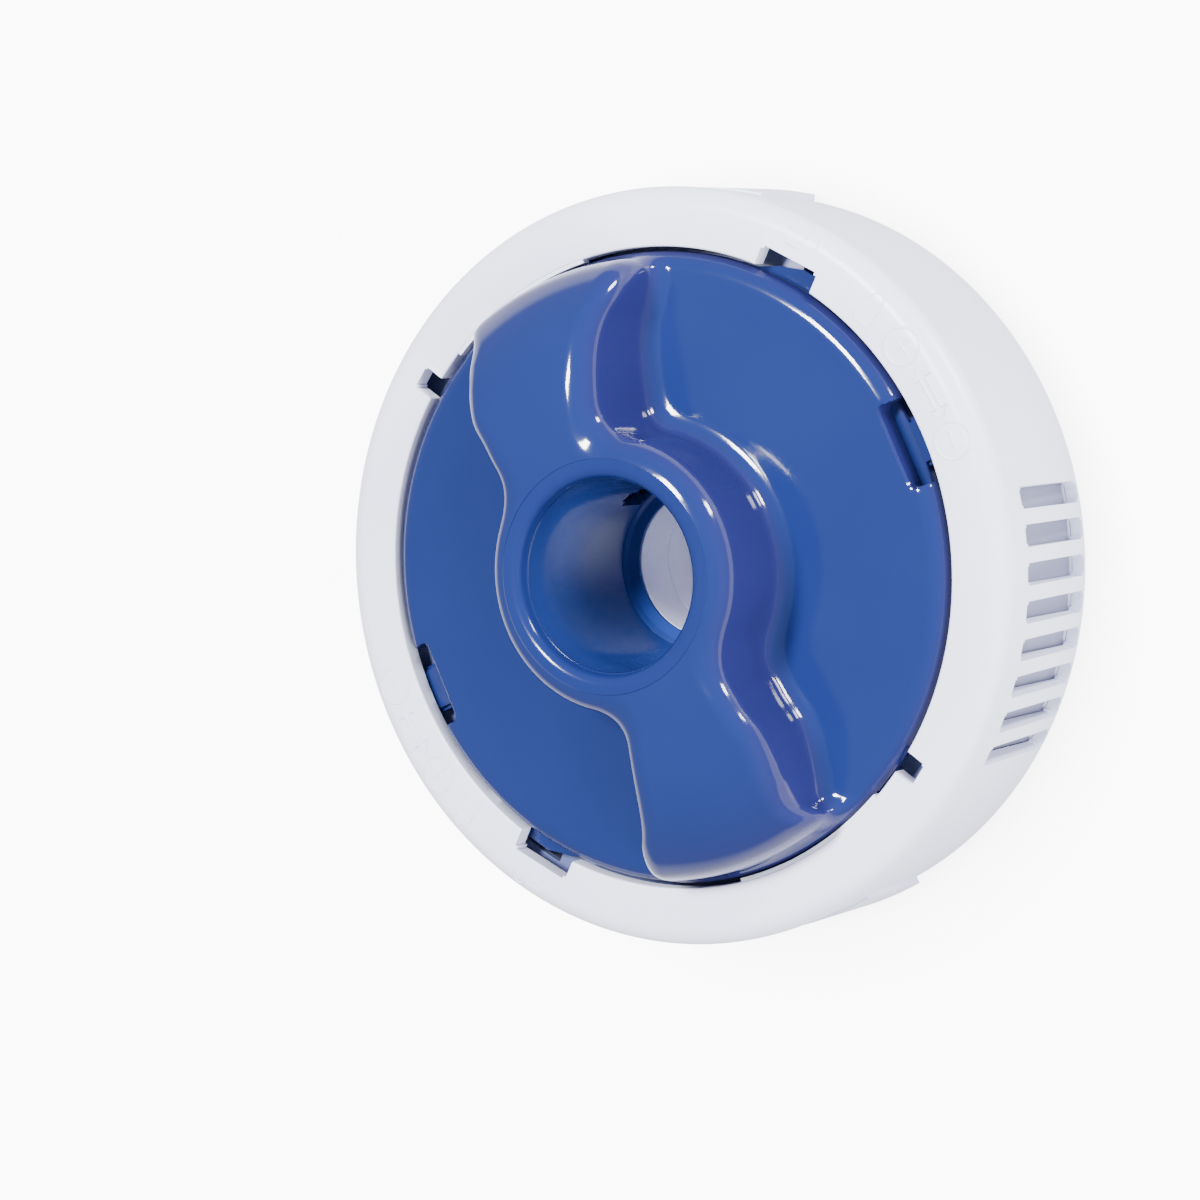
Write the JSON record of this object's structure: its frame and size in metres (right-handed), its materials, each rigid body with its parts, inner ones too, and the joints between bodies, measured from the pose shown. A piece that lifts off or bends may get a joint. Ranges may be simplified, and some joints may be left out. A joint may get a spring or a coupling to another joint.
{
  "type": "chlorine dispenser",
  "caption": "Round chlorine tablet dispenser for a pool return inlet: vented white barrel, through bore and a turning blue cap with a swept hollow grip.",
  "frame": {"origin": "centre of the rear face, on the axis of the bore; the object lies on its back", "axes": "+Z along the bore towards the cap, +X towards the middle of one bank of vents"},
  "size_m": [0.165, 0.165, 0.0685],
  "materials": {
    "white_plastic": "moulded, soft gloss",
    "blue_plastic": "moulded, high gloss",
    "seal_rubber": "matt",
    "chlorine_tablet": "pressed powder, chalky"
  },
  "bodies": {
    "housing": {"housing_shell": "white_plastic", "rear_wall": "white_plastic", "inlet_adapter": "white_plastic", "adapter_gasket": "seal_rubber", "throat_bush": "blue_plastic", "hub_o_ring": "seal_rubber", "tube_seal": "seal_rubber", "tablet_tray": "white_plastic", "chlorine_tablet_1": "chlorine_tablet", "chlorine_tablet_2": "chlorine_tablet", "chlorine_tablet_3": "chlorine_tablet", "chlorine_tablet_4": "chlorine_tablet", "chlorine_tablet_5": "chlorine_tablet", "chlorine_tablet_6": "chlorine_tablet", "chlorine_tablet_7": "chlorine_tablet", "chlorine_tablet_8": "chlorine_tablet"},
    "dosing_gear": {"dosing_ring": "white_plastic", "bayonet_ring": "blue_plastic"},
    "cap_body": {"cap": "blue_plastic", "throat_tube": "blue_plastic", "tube_retaining_ring": "white_plastic"}
  },
  "joints": [
    {"name": "cap_turn", "type": "hinge", "parent": "housing", "child": "dosing_gear", "pos_m": [0, 0, 0], "axis": [0, 0, 1], "range_deg": [-2.9, 39.1]},
    {"name": "cap_lift", "type": "slide", "parent": "dosing_gear", "child": "cap_body", "axis": [0, 0, 1], "range_m": [0, 0.06]}
  ]
}
